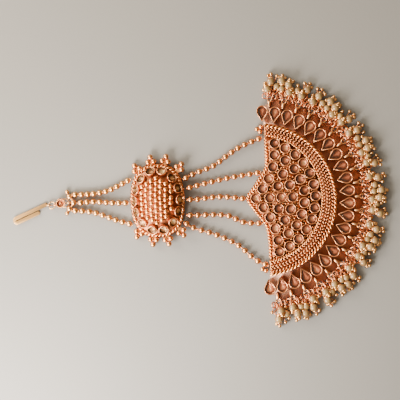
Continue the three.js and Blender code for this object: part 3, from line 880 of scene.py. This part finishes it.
TAB = {"start": 37.5, "length": 2.3, "width": 1.3, "bottom": 0.6, "top": 1.88, "bevel": 0.2}
TAB_TAPER = 0.6
TAB_POINT = 0.3
TAB_PRONG = 0.25
PRONG_LINE = [(39.5, 0.3, 1.5), (40.5, 0.85, 1.6), (41.4, 0.85, 1.5), (42.1, 0.35, 1.1)]
TAB_CROWN = {"reach": 38.75, "z": 1.72, "long": 1.3, "wide": 0.6, "high": 0.55}
TAB_GOLD = plated("tab_gold", (1.0, 0.55, 0.27), (0.56, 0.21, 0.09), 0.34)
half = TAB["width"] / 2
tab_outline = [
    (0.0, -half * TAB_TAPER), (TAB["length"], -half), (TAB["length"] + TAB_POINT, 0.0),
    (TAB["length"], half), (0.0, half * TAB_TAPER),
]
tab = slab(tab_outline, TAB["bottom"], TAB["top"], TAB["bevel"], moved(TAB["start"], 0, 0))
prong_lines = [
    smooth_path([(reach, side * aside, z) for reach, aside, z in PRONG_LINE], 9)
    for side in (-1, 1)
]
prongs = drawn_wire(prong_lines, TAB_PRONG)
tab_places = [FAN_PLACE @ moved(0, 0, 0, drop_angle(i + 0.5)) for i in range(DROPS - 1)]
crown_size = Matrix.Diagonal((TAB_CROWN["long"], TAB_CROWN["wide"], TAB_CROWN["high"], 1.0))
crown_places = [
    place @ moved(TAB_CROWN["reach"], 0, TAB_CROWN["z"]) @ crown_size for place in tab_places
]
tabs = [strewn(tab, tab_places), strewn(ball(1.0), crown_places)]
part("fan_tabs", "rose_gold", tabs, TAB_GOLD, "fan_plate")
part("fan_tab_prongs", "rose_gold", [strewn(prongs, tab_places)], ROSE_GOLD, "fan_plate")

# ---- The woven band ----
# A crescent of plaited wire round the stones. Slanted grains lie in rows that lean this way
# and that way by turns, between a coarse rope outside and a finer one inside.

BAND = {"inner": 25.3, "inner_x": -0.9, "inner_y": 0.85, "end": 2.6, "bottom": 1.2}
BED_TOP = 1.9
BAND_WIDTH = 5.2
BAND_ROWS = {"count": 4, "from": 0.12, "over": 0.68}
BAND_ROPES = [(0.9, 0.43, 3.3, 2.5), (0.05, 0.28, 2.2, 2.45)]
END_ROPE = {"strand": 0.26, "pitch": 1.5, "z": 2.5, "trim": 0.7, "x": 0.1}
GRAIN = {"long": 0.78, "wide": 0.31, "high": 0.62, "pitch": 1.38, "lean": 42.0, "z": 2.65}


def band_radius(share):
    return BAND["inner"] + (FAN["rim"] - BAND["inner"]) * share


def band_point(share, angle):
    """A point between the band's inner and outer circles, by share and angle in degrees."""
    radius = band_radius(share)
    x = BAND["inner_x"] * (1 - share)
    y = BAND["inner_y"] * (1 - share)
    turn = math.radians(angle)
    return Vector((x + radius * math.cos(turn), y + radius * math.sin(turn), 0.0))


def band_reach(share):
    """How far round the band goes on each side, in degrees, up to its straight ends."""
    across = BAND["end"] - BAND["inner_x"] * (1 - share)
    return math.degrees(math.acos(across / band_radius(share)))


def band_line(share, steps, z):
    """A line along the whole band, at a share of its width."""
    reach = band_reach(share)
    points = [band_point(share, -reach + 2 * reach * i / steps) for i in range(steps + 1)]
    return [Vector((p.x, p.y, z)) for p in points]


bed_line = band_line(0.98, 60, 0) + band_line(0.02, 60, 0)[::-1]
bed = slab([(p.x, p.y) for p in bed_line], BAND["bottom"], BED_TOP, place=FAN_PLACE)
# The bed is painted dark, as the shade between the grains.
BAND_SHADE = plated("band_shade", (0.44, 0.18, 0.09), (0.32, 0.12, 0.06), 0.5)
part("band_bed", "rose_gold", [bed], BAND_SHADE, "woven_band")

grain = ball(1.0, 2)
grain_places = []
for row in range(BAND_ROWS["count"]):
    share = BAND_ROWS["from"] + BAND_ROWS["over"] * (row + 0.5) / BAND_ROWS["count"]
    reach = band_reach(share)
    count = round(math.radians(2 * reach) * band_radius(share) / GRAIN["pitch"])
    for i in range(count):
        angle = -reach + 2 * reach * (i + 0.5 + 0.5 * (row % 2)) / (count + 0.5)
        spot = band_point(share, angle)
        narrow = (band_point(1, angle) - band_point(0, angle)).length / BAND_WIDTH
        lean = GRAIN["lean"] * (1 if row % 2 else -1)
        wide = GRAIN["wide"] * max(narrow, 0.9)
        size = Matrix.Diagonal((GRAIN["long"], wide, GRAIN["high"], 1.0))
        place = FAN_PLACE @ moved(spot.x, spot.y, GRAIN["z"], angle + 90 + lean)
        grain_places.append(place @ size)
WOVEN_GOLD = plated("woven_gold", (0.80, 0.35, 0.16), (0.54, 0.21, 0.10), 0.36)
part("band_grains", "rose_gold", [strewn(grain, grain_places)], WOVEN_GOLD, "woven_band")

ropes = [
    rope(evenly(band_line(share, 400, z), 601), strand, pitch, FAN_PLACE)
    for share, strand, pitch, z in BAND_ROPES
]
for side in (-1, 1):
    ends = [
        band_point(share, side * (band_reach(share) - END_ROPE["trim"]))
        for share in (0.04, 0.5, 0.96)
    ]
    line = smooth_path([(p.x + END_ROPE["x"], p.y, END_ROPE["z"]) for p in ends], 41)
    ropes.append(rope(line, END_ROPE["strand"], END_ROPE["pitch"], FAN_PLACE))
part("band_ropes", "rose_gold", ropes, ROSE_GOLD, "woven_band")

# ---- The band's end balls ----
# Small gilt balls, soldered in a cluster to each straight end of the band, where they cover the
# ends of its ropes.

END_BALLS = [(24.0, 27.3), (22.7, 28.3), (24.3, 29.2), (26.4, -28.2), (25.0, -27.6)]
BAND_BALL = 0.95
end_balls = strewn(ball(BAND_BALL), [moved(x, y, WIRE_Z) for x, y in END_BALLS])
part("band_end_balls", "rose_gold", [end_balls], ROSE_GOLD, "woven_band")

# ---- The fan's field of stones ----
# Thirty-nine round glasses in thin cups, soldered side by side on a tray in arcs that follow the
# band. Beads of solder fill the gaps between them.

# Each arc's stones, radius, centre along X, and reach to each side in degrees.
STONE_ARCS = [
    (13, 22.8, -0.9, 71.3), (10, 18.4, -0.8, 67.3), (7, 13.9, -1.1, 62.2), (5, 8.6, -0.3, 63.6),
    (3, 4.0, -0.4, 69.6), (1, 0.0, -1.9, 0.0),
]
CUP_RADIUS = 2.18
CUP_RISE = 0.1
CUP_TIP = 4
FIELD_CUT = [(1.03, 1.0), (1.1, 1.0), (1.4, 0.76), (1.55, 0.5)]
FIELD_GLASS = (arc(1.88, 0, 315, 7), FIELD_CUT, 0.62, 1.0)
TRAY = {"top": 1.5, "inset": 0.75}
BEAD = {
    "radius": 0.42, "grid": 0.55, "z": 1.9, "room": 0.28, "apart": 0.95, "farthest": 4.0,
    "from_band": 0.9, "from_edge": 1.1,
}
BEAD_ROWS = range(-48, 49)
BEAD_COLUMNS = range(-10, 50)

stone_places = []
for count, radius, centre, half_angle in STONE_ARCS:
    for i in range(count):
        turn = math.radians(-half_angle + 2 * half_angle * i / max(count - 1, 1))
        x = centre + radius * math.cos(turn)
        y = BAND["inner_y"] + radius * math.sin(turn)
        tip = moved(0, 0, 0, dice.uniform(-CUP_TIP, CUP_TIP), "X")
        tip = tip @ moved(0, 0, 0, dice.uniform(-CUP_TIP, CUP_TIP), "Y")
        stone_places.append(FAN_PLACE @ moved(x, y, FAN["top"] + CUP_RISE) @ tip)
tray_outline = [(p.x, p.y) for p in band_line(0.0, 60, 0)]
tray_outline += [(p.x + TRAY["inset"], p.y) for p in bracket_path[20:-20:6]]
tray = slab(tray_outline, FAN["plate"], TRAY["top"], place=FAN_PLACE)
# The tray is painted dark, as the shade in the gaps between the cups.
SOLDER_SHADE = plated("solder_shade", (0.30, 0.115, 0.055), (0.22, 0.08, 0.038), 0.42)
part("fan_tray", "rose_gold", [tray], SOLDER_SHADE, "fan_stones")


def bead_fits(spot, beads):
    """Whether a bead has room at a spot of the tray, near a stone and clear of what is there."""
    from_stone = min(math.hypot(spot.x - near.x, spot.y - near.y) for near in stone_spots)
    edge_x = min(back_edge, key=lambda point: abs(point[1] - spot.y))[0]
    band_edge = BAND["inner"] - BEAD["from_band"]
    return (
        CUP_RADIUS + BEAD["room"] < from_stone < BEAD["farthest"]
        and all((spot - bead).length > BEAD["apart"] for bead in beads)
        and math.hypot(spot.x - BAND["inner_x"], spot.y) < band_edge
        and spot.x > edge_x + BEAD["from_edge"]
    )


stone_spots = [FAN_PLACE.inverted() @ place.translation for place in stone_places]
beads = []
for row in BEAD_ROWS:
    for column in BEAD_COLUMNS:
        spot = Vector((column * BEAD["grid"], row * BEAD["grid"], BEAD["z"]))
        if bead_fits(spot, beads):
            beads.append(spot)
bead_places = [FAN_PLACE @ Matrix.Translation(bead) for bead in beads]
solder = strewn(ball(BEAD["radius"], 2), bead_places)
part("fan_solder_beads", "rose_gold", [solder], ROSE_GOLD, "fan_stones")
field_cup = cup(CUP_RADIUS, 1.84, 0.0, 1.75, 24)
part("fan_cups", "rose_gold", [strewn(field_cup, stone_places)], CUP_GOLD, "fan_stones")
spun = [place @ moved(0, 0, 0, dice.uniform(0, 45)) for place in stone_places]
tones = [dice.uniform(0.8, 1.35) for _ in spun]
stones("fan", FIELD_GLASS, spun, tones, ["fan_stones"])

# ---- The border of teardrops ----
# Twenty-two pear-cut glasses, each in a thin bezel of strip bent to a point, soldered to the
# plate with their tips against the band.

TEARDROP = {"tip": 31.1, "centre": 35.6, "radius": 2.35}
BEZEL = {"wall": 0.38, "lip": 1.15, "wire": 0.2}
drop_nodes = [f"teardrop_{i + 1:02d}" for i in range(DROPS)]


def pear(radius, tip, steps=20):
    """A pear outline about its round end's centre, with its point towards the band."""
    turn_in = 180 - math.degrees(math.acos(radius / tip))
    return [(-tip, 0.0)] + arc(radius, -turn_in, turn_in, steps)


def pear_bezel():
    """A strip bent round the stone, with a rounded lip."""
    radius, tip = TEARDROP["radius"], TEARDROP["centre"] - TEARDROP["tip"]
    wire, wall = BEZEL["wire"], BEZEL["wall"]
    line = pear(radius - wire, tip - wire * 1.9, 28)
    lip = drawn_wire([level(line, BEZEL["lip"])], wire, closed=True)
    bm = bmesh.new()
    bm.from_mesh(lip)
    outer = [bm.verts.new((x, y, BEZEL["lip"])) for x, y in line]
    edges = [bm.edges.new(pair) for pair in zip(outer, outer[1:] + outer[:1])]
    skirt = bmesh.ops.extrude_edge_only(bm, edges=edges)["geom"]
    lower = [item for item in skirt if isinstance(item, bmesh.types.BMVert)]
    bmesh.ops.translate(bm, verts=lower, vec=(0, 0, -BEZEL["lip"]))
    faces = [item for item in skirt if isinstance(item, bmesh.types.BMFace)]
    bmesh.ops.recalc_face_normals(bm, faces=faces)
    bmesh.ops.solidify(bm, geom=faces, thickness=wall * 0.6)
    return mesh_from(bm)


drop_places = [
    FAN_PLACE @ moved(0, 0, 0, drop_angle(i)) @ moved(TEARDROP["centre"], 0, FAN["top"])
    for i in range(DROPS)
]
bezels = strewn(pear_bezel(), drop_places)
part("teardrop_bezels", "rose_gold", [bezels], CUP_GOLD, *drop_nodes)
inner_tip = TEARDROP["centre"] - TEARDROP["tip"] - BEZEL["wall"] * 2.1
PEAR_CUT = [(0.63, 1.0), (0.7, 1.0), (0.95, 0.78), (1.05, 0.52)]
PEAR_GLASS = (pear(TEARDROP["radius"] - BEZEL["wall"], inner_tip, 12), PEAR_CUT, 0.5, 0.6)
tones = [dice.uniform(0.65, 1.1) for _ in drop_places]
stones("teardrop", PEAR_GLASS, drop_places, tones, drop_nodes)

# ---- The fringe of pearls ----
# From every tab hangs a cluster of jump rings, and from it two or three imitation pearls and a
# smaller one, on pins with looped heads. The pearls sit in gilt caps and end in gilt beads, and
# more beads hang loose.

PEARL = 1.65
SWAY = 0.6
SWAY_STEP = 2.4
STEM_START = 41.1
PIN_END = {"reach": 51.0, "z": 1.1}
PIN_WIRE = 0.22
# Places in a bunch are the reach from the fan's centre, the way to the side, and the height.
BUNCHES = [
    [(44.5, 1.3, 1.7), (47.7, 0.2, 1.8)],
    [(44.6, -1.3, 1.8), (47.6, -0.5, 2.5), (48.4, 2.5, 1.8)],
    [(44.9, 0.5, 2.3), (47.9, -0.7, 1.76)],
]
SMALL_PEARL = 1.4
SMALL_PEARLS = [(46.0, -2.4, 1.5), (45.4, 1.9, 1.5), (46.4, 2.7, 1.5)]
# Each ring's reach, side, radius and tilt. The end bunches have no room for the outermost ones.
JUMP_RINGS = [
    (42.2, 0.0, 1.45, 25.0), (42.6, 1.3, 1.3, 70.0), (42.8, -1.2, 1.25, -60.0),
    (43.6, 0.3, 1.2, 75.0), (44.0, 2.2, 1.1, -35.0), (44.2, -2.3, 1.1, 40.0),
    (42.9, 2.6, 1.2, 15.0), (42.7, -2.7, 1.15, -20.0), (44.9, -0.6, 1.0, 60.0),
    (42.0, 2.0, 1.1, -50.0), (41.8, -1.9, 1.1, 35.0), (45.3, 1.3, 1.0, -20.0),
]
END_BUNCHES = (0, DROPS - 2)
OUTERMOST = 2
RING_WIRE = 0.27
RING_JITTER = {"tilt": 18, "turn": 12}
RING_GOLD = plated("ring_gold", (0.84, 0.36, 0.18), (0.46, 0.17, 0.085), 0.34)
PIN_START = {"reach": 43.0, "side": 0.3, "z": 1.4}
PIN_PAST = 0.7
SMALL_PIN_START = {"reach": 43.6, "side": 0.6, "z": 1.2}
SMALL_PIN_PAST = 0.5
HEAD = {"radius": 0.6, "wire": 0.2, "away": 0.8}
CAP = [(0.3, 0.62), (0.75, 0.5), (1.05, 0.2), (1.15, -0.25), (0.95, -0.2), (0.3, 0.2)]
CAP_DEPTH = 0.3
SEED = 0.72
SMALL_SEED = {"radius": 0.5, "back": 1.1, "aside": 1.25}
LOOSE_SEEDS = [(43.9, 2.6), (44.6, -2.9), (46.9, 2.2), (49.7, -1.9), (49.9, 1.6)]
LOOSE = {"jitter": 0.4, "low": 0.8, "high": 2.0, "stem": 2.2, "side": 0.6, "z": 1.3}
bunch_nodes = [f"pearl_bunch_{i + 1:02d}" for i in range(DROPS - 1)]


def pearl_coat():
    """Cream pearl paint under a soft gloss, pinker and greener in patches, with shade painted brown
    on its sides.
    """
    material, place = blank_material("pearl_coat")
    cloud = place.noise(330.0, detail=2.0)
    blush = place.noise(140.0, detail=1.0)
    # Painted shade: browner where the pearl's faces stand upright.
    body = upright(place) ** 1.5 * 0.9 + cloud * 0.5 - 0.2
    cream = body.mix((0.16, 0.062, 0.024, 1), (0.37, 0.26, 0.10, 1))
    colour = (blush * 0.6).mix(cream, (0.28, 0.13, 0.06, 1))
    surface(
        place, Base_Color=colour, Roughness=cloud * 0.1 + 0.28, Coat_Weight=0.7,
        Coat_Roughness=0.12, Subsurface_Weight=0.1, Subsurface_Scale=0.0008,
        Normal=cloud.bump(0.00004, 0.4),
    )
    return material


def hung(bunch, reach, side, z):
    """A point of a bunch. The farther it hangs from the tab, the farther it is swung aside."""
    sway = SWAY * math.sin(SWAY_STEP * bunch)
    swing = sway * (reach - STEM_START) / (PIN_END["reach"] - STEM_START)
    return tab_places[bunch] @ Vector((reach, side + swing, z))


pearl_spots, little_spots, head_spots, seed_spots, small_spots = [], [], [], [], []
cap_places, pin_lines, ring_meshes = [], [], []
for bunch in range(DROPS - 1):
    for reach, side, radius, tilt in JUMP_RINGS:
        if bunch in END_BUNCHES and abs(side) > OUTERMOST:
            continue
        tilt += dice.uniform(-RING_JITTER["tilt"], RING_JITTER["tilt"])
        turn = dice.uniform(-RING_JITTER["turn"], RING_JITTER["turn"])
        rise = radius * abs(math.sin(math.radians(tilt))) + RING_WIRE + 0.1
        place = tab_places[bunch] @ moved(reach, side * (1 if bunch % 2 else -1), rise)
        place = place @ moved(0, 0, 0, turn) @ moved(0, 0, 0, tilt, "X")
        ring_meshes.append(strewn(ring(radius, RING_WIRE, 14, 5), [place]))
    hanging = BUNCHES[bunch % len(BUNCHES)]
    for reach, side, z in hanging:
        spot = hung(bunch, reach, side, z)
        start = hung(bunch, PIN_START["reach"], side * PIN_START["side"], PIN_START["z"])
        away = (spot - start).normalized()
        end = spot + away * (PEARL + PIN_PAST)
        if (reach, side, z) == hanging[-1]:
            end = hung(bunch, PIN_END["reach"], side, PIN_END["z"])
        out = (end - spot).normalized()
        across = out.cross(UP).normalized()
        pearl_spots.append(spot)
        cap_places.append(facing(spot - away * (PEARL - CAP_DEPTH), -away))
        cap_places.append(facing(spot + out * (PEARL - CAP_DEPTH), out))
        head_spots.append(spot - away * (PEARL + HEAD["away"]))
        seed_spots.append(end - out * SEED * 0.5)
        aside = dice.choice((-SMALL_SEED["aside"], SMALL_SEED["aside"]))
        small_spots.append(end - out * SMALL_SEED["back"] + across * aside)
        pin_lines.append([start, spot, end])
    reach, side, z = SMALL_PEARLS[bunch % len(BUNCHES)]
    spot = hung(bunch, reach, side, z)
    first = SMALL_PIN_START
    start = hung(bunch, first["reach"], side * first["side"], first["z"])
    away = (spot - start).normalized()
    end = spot + away * (SMALL_PEARL + SMALL_PIN_PAST)
    little_spots.append(spot)
    cap_places.append(facing(spot - away * (SMALL_PEARL - CAP_DEPTH), -away))
    seed_spots.append(end)
    pin_lines.append([start, spot, end])
    for reach, side in LOOSE_SEEDS:
        reach += dice.uniform(-LOOSE["jitter"], LOOSE["jitter"])
        side += dice.uniform(-LOOSE["jitter"], LOOSE["jitter"])
        spot = hung(bunch, reach, side, dice.uniform(LOOSE["low"], LOOSE["high"]))
        start = hung(bunch, reach - LOOSE["stem"], side * LOOSE["side"], LOOSE["z"])
        seed_spots.append(spot)
        pin_lines.append([spot, spot.lerp(start, 0.9)])


def at(spots):
    return [Matrix.Translation(spot) for spot in spots]


pearls = [strewn(ball(PEARL), at(pearl_spots)), strewn(ball(SMALL_PEARL), at(little_spots))]
part("pearls", "pearl", pearls, pearl_coat(), *bunch_nodes)
head = ring(HEAD["radius"], HEAD["wire"], 14, 6)
pins = [drawn_wire(pin_lines, PIN_WIRE), strewn(head, at(head_spots))]
part("pearl_pins", "rose_gold", pins, RING_GOLD, *bunch_nodes)
seeds = [
    strewn(turned(CAP, 14, closed=True), cap_places),
    strewn(ball(SEED, 2), at(seed_spots)),
    strewn(ball(SMALL_SEED["radius"], 2), at(small_spots)),
]
part("pearl_seeds", "pale_gold", seeds, PALE_GOLD, *bunch_nodes)
part("pearl_jump_rings", "rose_gold", ring_meshes, RING_GOLD, *bunch_nodes)
